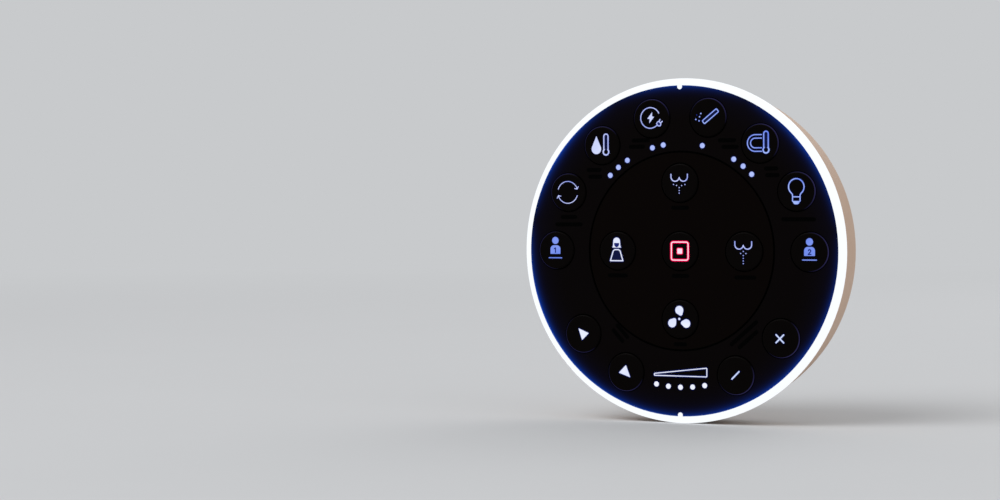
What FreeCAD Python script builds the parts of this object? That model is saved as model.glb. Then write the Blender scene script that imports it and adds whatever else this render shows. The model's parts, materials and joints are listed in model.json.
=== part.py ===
# Round, lit, wall-hung remote control of an electric bidet seat, with its wall plate.
# Millimetres. The wall is the plane y = 0 and the face looks along -Y; +X is right, +Z is up.
# Depths count back from the key tops: depth 0 is the front, BODY_DEPTH the shell's back.
# The pieces are drawn about the face's axis, and moved down at the end, so that the origin
# lies on the wall at the middle of the wall plate.
import FreeCAD
import Part
import math
import os

Vector = FreeCAD.Vector

# Whole body
BODY_DEPTH = 24.0           # key tops to the back of the rear shell
WALL_GAP = 1.5              # back of the rear shell to the wall
SHELL_FRONT_R = 63.2        # rear shell at its front rim
SHELL_TAPER = 0.15          # radius lost per millimetre of depth
SHELL_WALL = 1.8
SHELL_CORNER = 4.5          # rounding of the back edge
RIM_DEPTH = 2.3             # front rim of the rear shell

# Face
PLATE_FRONT = 0.5
PLATE_BACK = 2.1
PLATE_R = 60.4
GROOVE_R = 36.45            # middle of the groove round the centre panel
GROOVE_WIDTH = 0.7
RING_FRONT = 0.3            # front of the lit ring
RING_INNER_R = 60.7
RING_FLAT_R = 61.4          # where the ring's front starts to round off
RING_OUTER_R = 63.3
RING_LEG_INNER_R = 59.1     # leg that takes the light in from the lamps
RING_LEG_OUTER_R = 60.2
RING_LEG_BACK = 6.4
TICK_R = 0.95               # round-nosed marks at 12 and 6 o'clock
TICK_NOSE_R = 60.2          # circle that the centres of their noses lie on

# Keys
KEY_CIRCLE_R = 50.0
INNER_KEY_R = 25.0
KEY_STEP = 180.0 / 7.0      # pitch of the keys on the circle, in degrees
KEY_R = 7.1
KEY_ROUND = 0.6
KEY_GAP = 0.35
KEY_TRAVEL = 0.6
FLANGE_R = 7.8
FLANGE_FRONT = 3.2
FLANGE_BACK = 4.0
PLUNGER_R = 1.5
PLUNGER_BACK = 5.6
WELL_R = 8.1                # bore round each flange
WELL_WALL = 0.7

# Layers behind the face
FRAME_R = 58.9
FRAME_SKIN_BACK = 3.1
MAT_FRONT = 4.9
MAT_BACK = 5.4
MAT_R = 58.6
BAFFLE_SKIN_BACK = 6.2
BAFFLE_R = 58.2
BOARD_FRONT = 7.4
BOARD_BACK = 8.6
BOARD_R = 59.8
RING_LED_R = 59.25
RING_LED_COUNT = 48
LED_HEIGHT = 0.7
SWITCH_HALF = 3.0
SWITCH_FRONT = 5.45
SWITCH_WELL_BACK = 6.5

# Indicator lights
PIPE_R = 0.95
PIPE_BACK = 6.5
UPPER_PIPE_CIRCLE_R = 39.5
UPPER_PIPE_ANGLES = (-45.0, -38.57, -32.14, -16.07, -9.64, 12.86, 32.14, 38.57, 45.0)
LOWER_PIPE_STEP = 5.5

# Housing screws: (circle radius, angle clockwise from the top)
HOUSING_SCREWS = [(46.5, 0.0), (45.0, -2 * KEY_STEP), (45.0, 2 * KEY_STEP), (50.0, -109.3), (50.0, 109.3),
                  (52.5, -5.5 * KEY_STEP), (52.5, 5.5 * KEY_STEP)]
SCREW_R = 1.0
SCREW_HEAD_R = 2.0
SCREW_SEAT = 14.0           # depth of the shoulder that the screw heads pull on
FRAME_BOSS_R = 2.4
FRAME_BOSS_BACK = 9.2
SHELL_BOSS_R = 3.3
BOARD_SCREW_XZ = [(-20, 20), (20, 20), (-20, -20), (20, -20)]

# Battery bay: three AAA cells side by side, lying along X
CELL_R = 5.25
CELL_BODY = 43.5
CELL_NUB = 1.0
CELL_PITCH = 11.4
BAY_Z = -22.5
BAY_HALF_X = 26.5
BAY_HALF_Z = 17.5
BAY_FRONT = 11.0
BAY_WALL = 1.3
CELL_DEPTH = BAY_FRONT + 0.25 + CELL_R
CONTACT_X = BAY_HALF_X - 0.1        # outer face of the contact plates
CONTACT_T = 0.4
NUB_TIP_X = CONTACT_X - CONTACT_T
SPRING_WIRE_R = 0.3
SPRING_SMALL_R = 1.9
SPRING_LARGE_R = 3.4
SPRING_TURNS = 3.5
SPRING_ARCS = 6                     # arcs that make up each turn
DOOR_HALF_X = 28.5
DOOR_HALF_Z = 20.0
DOOR_CORNER = 3.0
DOOR_FRONT = 22.4
DOOR_GAP = 0.3
DOOR_EAR_X = 31.5
DOOR_EAR_R = 4.2

# Wall plate and what holds the remote on it
PLATE_Z = 22.0              # height of the wall plate's centre
WALL_PLATE_R = 20.0
WALL_PLATE_T = 2.6
FOAM_T = 0.8
RECESS_DEPTH = 2.0          # recess in the shell's back that locates on the wall plate
RECESS_GAP = 0.4
KEEPER_R = 18.0
KEEPER_T = 1.0
WALL_SCREW_SPACING = 26.0
WALL_SCREW_R = 2.25
WALL_SCREW_HEAD_R = 4.4
MAGNET_R = 4.0
MAGNET_T = 3.0
MAGNET_OFFSET = 9.5
FOOT_XZ = [(-43, 28), (43, 28), (-43, -28), (43, -28)]
FOOT_R = 3.5


def depth(d):
    """y of a depth behind the key tops."""
    return d - BODY_DEPTH - WALL_GAP


def polar(radius, angle):
    """x and z of a point at an angle clockwise from the top, seen from the front."""
    a = math.radians(angle)
    return radius * math.sin(a), radius * math.cos(a)


def disc(radius, front, back, x=0.0, z=0.0):
    return Part.makeCylinder(radius, back - front, Vector(x, depth(front), z), Vector(0, 1, 0))


def ring(outer, inner, front, back, x=0.0, z=0.0):
    return disc(outer, front, back, x, z).cut(disc(inner, front - 1, back + 1, x, z))


def block(half_x, half_z, front, back, x=0.0, z=0.0):
    corner = Vector(x - half_x, depth(front), z - half_z)
    return Part.makeBox(2 * half_x, back - front, 2 * half_z, corner)


def rounded_block(half_x, half_z, corner, front, back, x=0.0, z=0.0):
    """A block with its four edges along Y rounded."""
    solid = block(half_x, half_z, front, back, x, z)
    upright = [e for e in solid.Edges if abs(e.tangentAt(e.FirstParameter).y) > 0.99]
    return solid.makeFillet(corner, upright)


def turned(shape, angle):
    """Turn clockwise about the face's axis, seen from the front."""
    copy = shape.copy()
    copy.rotate(Vector(0, 0, 0), Vector(0, 1, 0), angle)
    return copy


def joined(shapes):
    """One solid from shapes that touch."""
    return shapes[0].multiFuse(shapes[1:]).removeSplitter()


def without(shape, tools):
    return shape.cut(Part.makeCompound(tools))


def revolve(edges):
    """A solid of revolution about the face's axis from a closed outline in the XY plane."""
    face = Part.Face(Part.Wire(edges))
    return face.revolve(Vector(0, 0, 0), Vector(0, 1, 0), 360)


def line(a, b):
    return Part.makeLine(Vector(a[0], depth(a[1]), 0), Vector(b[0], depth(b[1]), 0))


def arc(a, middle, b):
    ends = [Vector(p[0], depth(p[1]), 0) for p in (a, middle, b)]
    return Part.Arc(*ends).toShape()


def key_places():
    """Name, x and z of each key."""
    step = KEY_STEP
    outer = [("key_user_one", -3.5 * step), ("key_oscillate", -2.5 * step), ("key_water_heat", -1.5 * step),
             ("key_energy_save", -0.5 * step), ("key_nozzle_rinse", 0.5 * step), ("key_seat_heat", 1.5 * step),
             ("key_night_light", 2.5 * step), ("key_user_two", 3.5 * step), ("key_more", 5 * step),
             ("key_less", 6 * step), ("key_nozzle_in", -6 * step), ("key_nozzle_out", -5 * step)]
    inner = [("key_wide_wash", 0), ("key_rear_wash", 90), ("key_dryer", 180), ("key_front_wash", 270)]
    places = [(name,) + polar(KEY_CIRCLE_R, angle) for name, angle in outer]
    places += [(name,) + polar(INNER_KEY_R, angle) for name, angle in inner]
    places.append(("key_stop", 0.0, 0.0))
    return places


KEYS = key_places()
UPPER_PIPES = [polar(UPPER_PIPE_CIRCLE_R, angle) for angle in UPPER_PIPE_ANGLES]
LOWER_PIPES = [polar(KEY_CIRCLE_R, 180 + LOWER_PIPE_STEP * k) for k in (-2, -1, 0, 1, 2)]
SCREWS = [polar(radius, angle) for radius, angle in HOUSING_SCREWS]


def at_keys(radius, front, back):
    return [disc(radius, front, back, x, z) for _, x, z in KEYS]


def at_points(points, radius, front, back):
    return [disc(radius, front, back, x, z) for x, z in points]


# Wall plate

def wall_screw_holes(radius, front_y, length):
    holes = []
    for side in (-1, 1):
        place = Vector(0, front_y, PLATE_Z + side * WALL_SCREW_SPACING / 2)
        holes.append(Part.makeCylinder(radius, length, place, Vector(0, 1, 0)))
    return holes


def wall_plate():
    front = -FOAM_T - WALL_PLATE_T
    plate = Part.makeCylinder(WALL_PLATE_R, WALL_PLATE_T, Vector(0, front, PLATE_Z), Vector(0, 1, 0))
    front_edge = [e for e in plate.Edges if abs(e.BoundBox.YMax - front) < 1e-6 and e.Length > 100]
    plate = plate.makeFillet(0.4, front_edge)
    pocket = Part.makeCylinder(KEEPER_R, KEEPER_T, Vector(0, front, PLATE_Z), Vector(0, 1, 0))
    countersinks = []
    floor = front + KEEPER_T
    for side in (-1, 1):
        place = Vector(0, floor, PLATE_Z + side * WALL_SCREW_SPACING / 2)
        countersinks.append(Part.makeCone(3.05, WALL_SCREW_R, 0.8, place, Vector(0, 1, 0)))
    holes = wall_screw_holes(WALL_SCREW_R, front - 1, WALL_PLATE_T + 2)
    return without(plate, [pocket] + countersinks + holes)


def foam():
    pad = Part.makeCylinder(WALL_PLATE_R - 0.5, FOAM_T, Vector(0, -FOAM_T, PLATE_Z), Vector(0, 1, 0))
    return without(pad, wall_screw_holes(WALL_SCREW_R + 1.5, -FOAM_T - 1, FOAM_T + 2))


def keeper_disc():
    front = -FOAM_T - WALL_PLATE_T
    steel = Part.makeCylinder(KEEPER_R - 0.1, KEEPER_T, Vector(0, front, PLATE_Z), Vector(0, 1, 0))
    return without(steel, wall_screw_holes(WALL_SCREW_HEAD_R, front - 1, KEEPER_T + 2))


# Rear shell, its door and its feet

def door_outline(grow, front, back):
    """Rounded rectangle with an ear at each side."""
    panel = rounded_block(DOOR_HALF_X + grow, DOOR_HALF_Z + grow, DOOR_CORNER + grow, front, back, 0, BAY_Z)
    ears = [disc(DOOR_EAR_R + grow, front, back, side * DOOR_EAR_X, BAY_Z) for side in (-1, 1)]
    return joined([panel] + ears)


def bay_mouth(grow, front, back):
    return rounded_block(BAY_HALF_X + grow, BAY_HALF_Z + grow, 0.8, front, back, 0, BAY_Z)


def shell_radius(d):
    return SHELL_FRONT_R - SHELL_TAPER * (d - RIM_DEPTH)


def shell_body(inset, back, corner):
    """The tapered cup's outer form, or the form of its hollow."""
    front_y = depth(RIM_DEPTH)
    cone = Part.makeCone(SHELL_FRONT_R - inset, shell_radius(back) - inset, back - RIM_DEPTH,
                         Vector(0, front_y, 0), Vector(0, 1, 0))
    back_edge = [e for e in cone.Edges if e.BoundBox.YMin > depth(back) - 1e-3]
    return cone.makeFillet(corner, back_edge)


def rear_shell():
    inside = BODY_DEPTH - SHELL_WALL
    cup = shell_body(0, BODY_DEPTH, SHELL_CORNER).cut(shell_body(SHELL_WALL, inside, SHELL_CORNER - SHELL_WALL))
    bay = block(BAY_HALF_X + BAY_WALL, BAY_HALF_Z + BAY_WALL, BAY_FRONT - BAY_WALL, inside + 0.2, 0, BAY_Z)
    ledge = door_outline(2.0, DOOR_FRONT - 1.9, inside + 0.2)
    door_bosses = [disc(3.0, 14.0, inside + 0.2, side * DOOR_EAR_X, BAY_Z) for side in (-1, 1)]
    recess_wall = disc(WALL_PLATE_R + 2.0, BODY_DEPTH - RECESS_DEPTH - 1.6, inside + 0.2, 0, PLATE_Z)
    cups = [ring(MAGNET_R + 1.0, MAGNET_R + 0.05, 17.6, 20.5, x, z) for x, z in magnet_places()]
    bosses = at_points(SCREWS, SHELL_BOSS_R, FRAME_BOSS_BACK + 0.1, inside + 0.2)
    solid = joined([cup, bay, ledge, recess_wall] + door_bosses + cups + bosses)
    cuts = [
        bay_mouth(0, BAY_FRONT, BODY_DEPTH + 1),
        door_outline(DOOR_GAP, DOOR_FRONT - 0.1, BODY_DEPTH + 1),
        disc(WALL_PLATE_R + RECESS_GAP, BODY_DEPTH - RECESS_DEPTH, BODY_DEPTH + 1, 0, PLATE_Z),
        seal_groove(),
    ]
    cuts += at_points(SCREWS, SCREW_R + 0.3, FRAME_BOSS_BACK - 1, BODY_DEPTH + 1)
    cuts += at_points(SCREWS, SCREW_HEAD_R + 0.4, SCREW_SEAT, BODY_DEPTH + 1)
    cuts += [disc(SCREW_R, 15.0, DOOR_FRONT + 1, side * DOOR_EAR_X, BAY_Z) for side in (-1, 1)]
    cuts += at_points(FOOT_XZ, FOOT_R + 0.1, BODY_DEPTH - 0.5, BODY_DEPTH + 1)
    cuts += terminal_slots()
    return without(solid, cuts)


def seal_groove():
    return bay_mouth(1.6, DOOR_FRONT - 0.95, DOOR_FRONT).cut(bay_mouth(0.5, DOOR_FRONT - 2, DOOR_FRONT + 1))


def battery_seal():
    return bay_mouth(1.55, DOOR_FRONT - 0.95, DOOR_FRONT - 0.05).cut(bay_mouth(0.55, DOOR_FRONT - 2, DOOR_FRONT))


def battery_door():
    panel = door_outline(0, DOOR_FRONT, BODY_DEPTH)
    outer = [e for e in panel.Edges if e.BoundBox.YMin > depth(BODY_DEPTH) - 1e-6]
    panel = panel.makeFillet(0.25, outer)
    cuts = []
    for side in (-1, 1):
        x = side * DOOR_EAR_X
        cuts.append(disc(SCREW_R + 0.25, DOOR_FRONT - 1, BODY_DEPTH + 1, x, BAY_Z))
        cuts.append(Part.makeCone(SCREW_R + 0.25, SCREW_HEAD_R + 0.25, 0.9,
                                  Vector(x, depth(BODY_DEPTH - 0.9), BAY_Z), Vector(0, 1, 0)))
    pull = block(6.0, 0.8, BODY_DEPTH - 0.8, BODY_DEPTH + 1, 0, BAY_Z + DOOR_HALF_Z - 3.2)
    return without(panel, cuts + [pull])


def cross_slot(radius, head_back, x, z):
    """Cross cut of a screw head that looks towards +Y."""
    arm = radius * 0.62
    return [block(arm, 0.28, head_back - 0.6, head_back + 1, x, z),
            block(0.28, arm, head_back - 0.6, head_back + 1, x, z)]


def battery_door_screws():
    screws = []
    for side in (-1, 1):
        x = side * DOOR_EAR_X
        shank = disc(SCREW_R - 0.05, 16.5, BODY_DEPTH - 0.8, x, BAY_Z)
        head = Part.makeCone(SCREW_R - 0.05, SCREW_HEAD_R, 0.9, Vector(x, depth(BODY_DEPTH - 0.95), BAY_Z),
                             Vector(0, 1, 0))
        screws.append(without(joined([shank, head]), cross_slot(SCREW_HEAD_R, BODY_DEPTH - 0.05, x, BAY_Z)))
    return Part.makeCompound(screws)


def rear_feet():
    feet = []
    for x, z in FOOT_XZ:
        foot = disc(FOOT_R, BODY_DEPTH - 0.5, BODY_DEPTH + WALL_GAP - 0.05, x, z)
        edge = [e for e in foot.Edges if e.BoundBox.YMin > -0.06]
        feet.append(foot.makeFillet(0.5, edge))
    return Part.makeCompound(feet)


def magnet_places():
    return [(x, PLATE_Z + z) for x in (-MAGNET_OFFSET, MAGNET_OFFSET) for z in (-MAGNET_OFFSET, MAGNET_OFFSET)]


def magnets():
    back = BODY_DEPTH - RECESS_DEPTH - 1.6
    return Part.makeCompound([disc(MAGNET_R, back - MAGNET_T, back, x, z) for x, z in magnet_places()])


def housing_screws():
    screws = []
    for x, z in SCREWS:
        shank = disc(SCREW_R, 5.2, SCREW_SEAT, x, z)
        head = disc(SCREW_HEAD_R, SCREW_SEAT, SCREW_SEAT + 1.5, x, z)
        screws.append(without(joined([shank, head]), cross_slot(SCREW_HEAD_R, SCREW_SEAT + 1.5, x, z)))
    return Part.makeCompound(screws)


# Battery bay: cells, springs and contact plates

def cell_rows():
    """Centre z of each cell and the side, -1 or 1, that its positive nub points to."""
    return [(BAY_Z + CELL_PITCH, 1), (BAY_Z, -1), (BAY_Z - CELL_PITCH, 1)]


def along_x(radius, x0, x1, z, d=CELL_DEPTH):
    low, high = min(x0, x1), max(x0, x1)
    return Part.makeCylinder(radius, high - low, Vector(low, depth(d), z), Vector(1, 0, 0))


def cells():
    solids = []
    for z, side in cell_rows():
        shoulder = side * (NUB_TIP_X - CELL_NUB)
        tail = shoulder - side * CELL_BODY
        body = along_x(CELL_R, tail, shoulder, z)
        ends = [e for e in body.Edges if e.Length > 10 and len(e.Vertexes) == 1]
        body = body.makeFillet(0.5, ends)
        nub = along_x(1.9, shoulder - side * 0.2, side * NUB_TIP_X, z)
        solids.append(joined([body, nub]))
    return Part.makeCompound(solids)


def springs():
    """A conical spring behind each cell's flat end, narrow at the cell and wide at the plate."""
    solids = []
    tail = CELL_BODY + CELL_NUB - NUB_TIP_X
    height = NUB_TIP_X - tail - 2 * SPRING_WIRE_R
    arcs = int(SPRING_TURNS * SPRING_ARCS)
    for z, side in cell_rows():
        points = []
        for k in range(2 * arcs + 1):
            share = k / (2 * arcs)
            turn = math.radians(360 * SPRING_TURNS * share)
            radius = SPRING_SMALL_R + (SPRING_LARGE_R - SPRING_SMALL_R) * share
            points.append(Vector(-side * (tail + SPRING_WIRE_R + height * share),
                                 depth(CELL_DEPTH) + radius * math.cos(turn), z + radius * math.sin(turn)))
        path = [Part.Arc(*points[2 * k:2 * k + 3]).toShape() for k in range(arcs)]
        heading = path[0].tangentAt(path[0].FirstParameter)
        section = Part.Wire(Part.makeCircle(SPRING_WIRE_R, points[0], heading))
        solids.append(Part.Wire(path).makePipeShell([section], True, False))
    return Part.makeCompound(solids)


def contact_plate(side, z_low, z_high, tab_z=None):
    """Flat spring-steel plate on one end wall, with a tab to the board where it ends the chain."""
    thick = CONTACT_T / 2
    x = side * (CONTACT_X - thick)
    mid, half = (z_low + z_high) / 2, (z_high - z_low) / 2
    plate = block(thick, half, CELL_DEPTH - 4.5, CELL_DEPTH + 4.5, x, mid)
    if tab_z is None:
        return plate
    return joined([plate, block(thick, 1.0, BOARD_BACK, CELL_DEPTH, x, tab_z)])


def contact_plates():
    top, middle, bottom = [z for z, _ in cell_rows()]
    half = 4.6
    return Part.makeCompound([
        contact_plate(1, top - half, top + half, top),
        contact_plate(-1, middle - half, top + half),
        contact_plate(1, bottom - half, middle + half),
        contact_plate(-1, bottom - half, bottom + half, bottom),
    ])


def terminal_slots():
    top, _, bottom = [z for z, _ in cell_rows()]
    x = CONTACT_X - CONTACT_T / 2
    return [block(0.3, 1.2, BAY_FRONT - BAY_WALL - 1, BAY_FRONT + 1, x, top),
            block(0.3, 1.2, BAY_FRONT - BAY_WALL - 1, BAY_FRONT + 1, -x, bottom)]


# Face

def tick(grow, front, back):
    """Round-nosed mark that points to the middle from 12 o'clock."""
    reach = (RING_INNER_R + 0.2 - TICK_NOSE_R) / 2
    neck = block(TICK_R + grow, reach, front, back, 0, TICK_NOSE_R + reach)
    return joined([neck, disc(TICK_R + grow, front, back, 0, TICK_NOSE_R)])


def light_ring():
    front, rim = RING_FRONT, RIM_DEPTH
    bulge = 0.7071 * (RING_OUTER_R - RING_FLAT_R), 0.7071 * (rim - front)
    middle = (RING_FLAT_R + bulge[0], rim - bulge[1])
    body = revolve([
        line((RING_INNER_R, front), (RING_FLAT_R, front)),
        arc((RING_FLAT_R, front), middle, (RING_OUTER_R, rim)),
        line((RING_OUTER_R, rim), (RING_LEG_OUTER_R, rim)),
        line((RING_LEG_OUTER_R, rim), (RING_LEG_OUTER_R, RING_LEG_BACK)),
        line((RING_LEG_OUTER_R, RING_LEG_BACK), (RING_LEG_INNER_R, RING_LEG_BACK)),
        line((RING_LEG_INNER_R, RING_LEG_BACK), (RING_LEG_INNER_R, rim - 0.1)),
        line((RING_LEG_INNER_R, rim - 0.1), (RING_INNER_R, rim - 0.1)),
        line((RING_INNER_R, rim - 0.1), (RING_INNER_R, front)),
    ])
    mark = tick(0, front, PLATE_BACK - 0.1)
    return joined([body, mark, turned(mark, 180)])


def plate_blank(outer, inner):
    blank = disc(outer, PLATE_FRONT, PLATE_BACK)
    return blank.cut(disc(inner, PLATE_FRONT - 1, PLATE_BACK + 1)) if inner else blank


def face_plate():
    plate = plate_blank(PLATE_R, GROOVE_R + GROOVE_WIDTH / 2)
    outer_keys = at_keys(KEY_R + KEY_GAP, PLATE_FRONT - 1, PLATE_BACK + 1)[:12]
    pipes = at_points(UPPER_PIPES + LOWER_PIPES, PIPE_R, PLATE_FRONT - 1, PLATE_BACK + 1)
    notch = tick(0.15, PLATE_FRONT - 1, PLATE_BACK + 1)
    return without(plate, outer_keys + pipes + [notch, turned(notch, 180)])


def centre_panel():
    panel = plate_blank(GROOVE_R - GROOVE_WIDTH / 2, 0)
    return without(panel, at_keys(KEY_R + KEY_GAP, PLATE_FRONT - 1, PLATE_BACK + 1)[12:])


def key_cap(x, z):
    cap = disc(KEY_R, 0, FLANGE_FRONT, x, z)
    front_edge = [e for e in cap.Edges if e.BoundBox.YMax < depth(0) + 1e-6]
    cap = cap.makeFillet(KEY_ROUND, front_edge)
    flange = disc(FLANGE_R, FLANGE_FRONT, FLANGE_BACK, x, z)
    plunger = disc(PLUNGER_R, FLANGE_BACK, PLUNGER_BACK, x, z)
    return joined([cap, flange, plunger])


def light_pipes(points):
    return Part.makeCompound(at_points(points, PIPE_R, PLATE_FRONT, PIPE_BACK))


# Layers behind the face

def front_frame():
    skin = disc(FRAME_R, PLATE_BACK, FRAME_SKIN_BACK)
    skirt = ring(FRAME_R, FRAME_R - 0.9, FRAME_SKIN_BACK, MAT_FRONT)
    wells = at_keys(WELL_R + WELL_WALL, FRAME_SKIN_BACK, MAT_FRONT)
    posts = at_points(SCREWS, FRAME_BOSS_R, FRAME_SKIN_BACK, FRAME_BOSS_BACK)
    studs = at_points(BOARD_SCREW_XZ, FRAME_BOSS_R, FRAME_SKIN_BACK, MAT_FRONT)
    guides = at_points(UPPER_PIPES + LOWER_PIPES, PIPE_R + 0.6, FRAME_SKIN_BACK, MAT_FRONT)
    solid = joined([skin, skirt] + wells + posts + studs + guides)
    cuts = at_keys(KEY_R + KEY_GAP, PLATE_BACK - 1, FRAME_SKIN_BACK + 1)
    cuts += at_keys(WELL_R, FRAME_SKIN_BACK, MAT_FRONT + 1)
    cuts += at_points(UPPER_PIPES + LOWER_PIPES, PIPE_R, PLATE_BACK - 1, MAT_FRONT + 1)
    cuts += at_points(SCREWS, SCREW_R, 4.2, FRAME_BOSS_BACK + 1)
    cuts += at_points(BOARD_SCREW_XZ, SCREW_R, 3.4, MAT_FRONT + 1)
    return without(solid, cuts)


def through_holes(front, back):
    """Holes for posts, board screws and light pipes, shared by mat, baffle and board."""
    holes = at_points(SCREWS, FRAME_BOSS_R + 0.15, front - 1, back + 1)
    holes += at_points(BOARD_SCREW_XZ, SCREW_R, front - 1, back + 1)
    return holes


def key_mat():
    sheet = disc(MAT_R, MAT_FRONT, MAT_BACK)
    holes = at_keys(PLUNGER_R + 0.7, MAT_FRONT - 1, MAT_BACK + 1)
    holes += at_points(UPPER_PIPES + LOWER_PIPES, PIPE_R, MAT_FRONT - 1, MAT_BACK + 1)
    return without(sheet, holes + through_holes(MAT_FRONT, MAT_BACK))


def light_baffle():
    skin = disc(BAFFLE_R, MAT_BACK, BAFFLE_SKIN_BACK)
    wells = at_keys(WELL_R, BAFFLE_SKIN_BACK, BOARD_FRONT)
    studs = at_points(BOARD_SCREW_XZ, FRAME_BOSS_R, BAFFLE_SKIN_BACK, BOARD_FRONT)
    cups = at_points(UPPER_PIPES + LOWER_PIPES, PIPE_R + 0.8, BAFFLE_SKIN_BACK, BOARD_FRONT)
    solid = joined([skin] + wells + studs + cups)
    cuts = at_keys(WELL_R - WELL_WALL, MAT_BACK - 1, BOARD_FRONT + 1)
    cuts += at_points(UPPER_PIPES + LOWER_PIPES, PIPE_R + 0.15, MAT_BACK - 1, BOARD_FRONT + 1)
    return without(solid, cuts + through_holes(MAT_BACK, BOARD_FRONT))


def face_seal():
    return ring(60.95, RING_LEG_OUTER_R + 0.02, 3.0, 4.1)


# Board and what is on it

def main_board():
    board = disc(BOARD_R, BOARD_FRONT, BOARD_BACK)
    return without(board, through_holes(BOARD_FRONT, BOARD_BACK))


def chip(half_x, half_z, height, x, z):
    """A component body on the back of the board."""
    return block(half_x, half_z, BOARD_BACK, BOARD_BACK + height, x, z)


def tact_switches():
    solids = []
    for _, x, z in KEYS:
        body = block(SWITCH_HALF, SWITCH_HALF, SWITCH_FRONT, BOARD_FRONT, x, z)
        well = disc(PLUNGER_R + 0.35, SWITCH_FRONT - 1, SWITCH_WELL_BACK, x, z)
        solids.append(body.cut(well))
    return Part.makeCompound(solids)


def key_lamps():
    lamps = []
    for _, x, z in KEYS:
        for side in (-1, 1):
            lamps.append(block(0.8, 1.4, BOARD_FRONT - LED_HEIGHT, BOARD_FRONT, x + side * 4.9, z))
    return Part.makeCompound(lamps)


def ring_lamps():
    lamp = block(1.4, 0.5, BOARD_FRONT - LED_HEIGHT, BOARD_FRONT, 0, RING_LED_R)
    return Part.makeCompound([turned(lamp, 360.0 * k / RING_LED_COUNT) for k in range(RING_LED_COUNT)])


def indicator_lamps():
    lamps = [block(0.5, 0.5, BOARD_FRONT - LED_HEIGHT, BOARD_FRONT, x, z) for x, z in UPPER_PIPES + LOWER_PIPES]
    return Part.makeCompound(lamps)


def board_screws():
    screws = []
    for x, z in BOARD_SCREW_XZ:
        shank = disc(SCREW_R, 3.6, BOARD_BACK, x, z)
        head = disc(SCREW_HEAD_R, BOARD_BACK, BOARD_BACK + 0.9, x, z)
        slot = block(SCREW_HEAD_R * 0.62, 0.25, BOARD_BACK + 0.5, BOARD_BACK + 2, x, z)
        screws.append(joined([shank, head]).cut(slot))
    return Part.makeCompound(screws)


def microcontroller():
    x, z = -15.0, 6.0
    body = chip(3.5, 3.5, 1.4, x, z)
    pins = []
    for k in range(8):
        along = -2.8 + 0.8 * k
        for side in (-1, 1):
            pins.append(chip(0.6, 0.15, 0.25, x + side * 4.0, z + along))
            pins.append(chip(0.15, 0.6, 0.25, x + along, z + side * 4.0))
    return joined([body] + pins)


def radio_module():
    x, z = 24.0, 38.0
    carrier = chip(8.0, 6.0, 0.8, x, z)
    can = chip(5.5, 5.2, 2.4, x - 2.0, z)
    return joined([carrier, can])


def lamp_drivers():
    places = [(-44, 14), (44, 14), (-44, -2), (44, -2)]
    solids = []
    for x, z in places:
        body = chip(2.0, 2.5, 1.5, x, z)
        pins = [chip(0.5, 0.2, 0.25, x + side * 2.4, z - 1.9 + 1.27 * k) for side in (-1, 1) for k in range(4)]
        solids.append(joined([body] + pins))
    return Part.makeCompound(solids)


def buzzer():
    x, z = -26.0, 38.0
    drum = disc(6.0, BOARD_BACK, BOARD_BACK + 5.5, x, z)
    return drum.cut(disc(0.8, BOARD_BACK + 4, BOARD_BACK + 7, x, z))


def crystal():
    return rounded_block(2.5, 1.6, 1.2, BOARD_BACK, BOARD_BACK + 1.2, -15.0, -1.2 + 14.5)


def boost_coil():
    x, z = 12.0, 8.0
    base = rounded_block(3.0, 3.0, 0.8, BOARD_BACK, BOARD_BACK + 0.7, x, z)
    drum = disc(2.6, BOARD_BACK + 0.7, BOARD_BACK + 2.3, x, z)
    top = disc(2.9, BOARD_BACK + 2.3, BOARD_BACK + 3.0, x, z)
    return joined([base, drum, top])


def capacitors():
    cans = []
    for x in (21.0, 29.0):
        can = disc(3.15, BOARD_BACK, BOARD_BACK + 5.4, x, 8.0)
        cans.append(can.makeFillet(0.4, [e for e in can.Edges if e.BoundBox.YMin > depth(BOARD_BACK + 5.3)]))
    return Part.makeCompound(cans)


PARTS = {
    "wall_plate": wall_plate(),
    "wall_plate_foam": foam(),
    "keeper_disc": keeper_disc(),
    "rear_shell": rear_shell(),
    "battery_door": battery_door(),
    "battery_door_screws": battery_door_screws(),
    "battery_seal": battery_seal(),
    "rear_feet": rear_feet(),
    "holding_magnets": magnets(),
    "housing_screws": housing_screws(),
    "battery_cells": cells(),
    "battery_springs": springs(),
    "battery_contacts": contact_plates(),
    "light_ring": light_ring(),
    "face_plate": face_plate(),
    "centre_panel": centre_panel(),
    "upper_light_pipes": light_pipes(UPPER_PIPES),
    "lower_light_pipes": light_pipes(LOWER_PIPES),
    "front_frame": front_frame(),
    "key_mat": key_mat(),
    "light_baffle": light_baffle(),
    "face_seal": face_seal(),
    "main_board": main_board(),
    "tact_switches": tact_switches(),
    "key_lamps": key_lamps(),
    "ring_lamps": ring_lamps(),
    "indicator_lamps": indicator_lamps(),
    "board_screws": board_screws(),
    "microcontroller": microcontroller(),
    "radio_module": radio_module(),
    "lamp_drivers": lamp_drivers(),
    "buzzer": buzzer(),
    "crystal": crystal(),
    "boost_coil": boost_coil(),
    "capacitors": capacitors(),
}
PARTS.update({name: key_cap(x, z) for name, x, z in KEYS})

os.makedirs("parts", exist_ok=True)
for name, shape in PARTS.items():
    shape.translate(Vector(0, 0, -PLATE_Z))
    print(name, len(shape.Solids), round(shape.Volume, 2), "valid" if shape.isValid() else "NOT VALID")
    shape.exportStep("parts/" + name + ".step")
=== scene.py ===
# Looks for the round, lit remote control of an electric bidet seat: keys, symbols, finishes, stage.
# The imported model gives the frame. Lengths in the dictionaries are millimetres unless they say otherwise.
import bmesh
import bpy
import json
import math
from mathutils import Matrix, Vector
from mathutils.bvhtree import BVHTree
from mathutils.geometry import delaunay_2d_cdt


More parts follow.
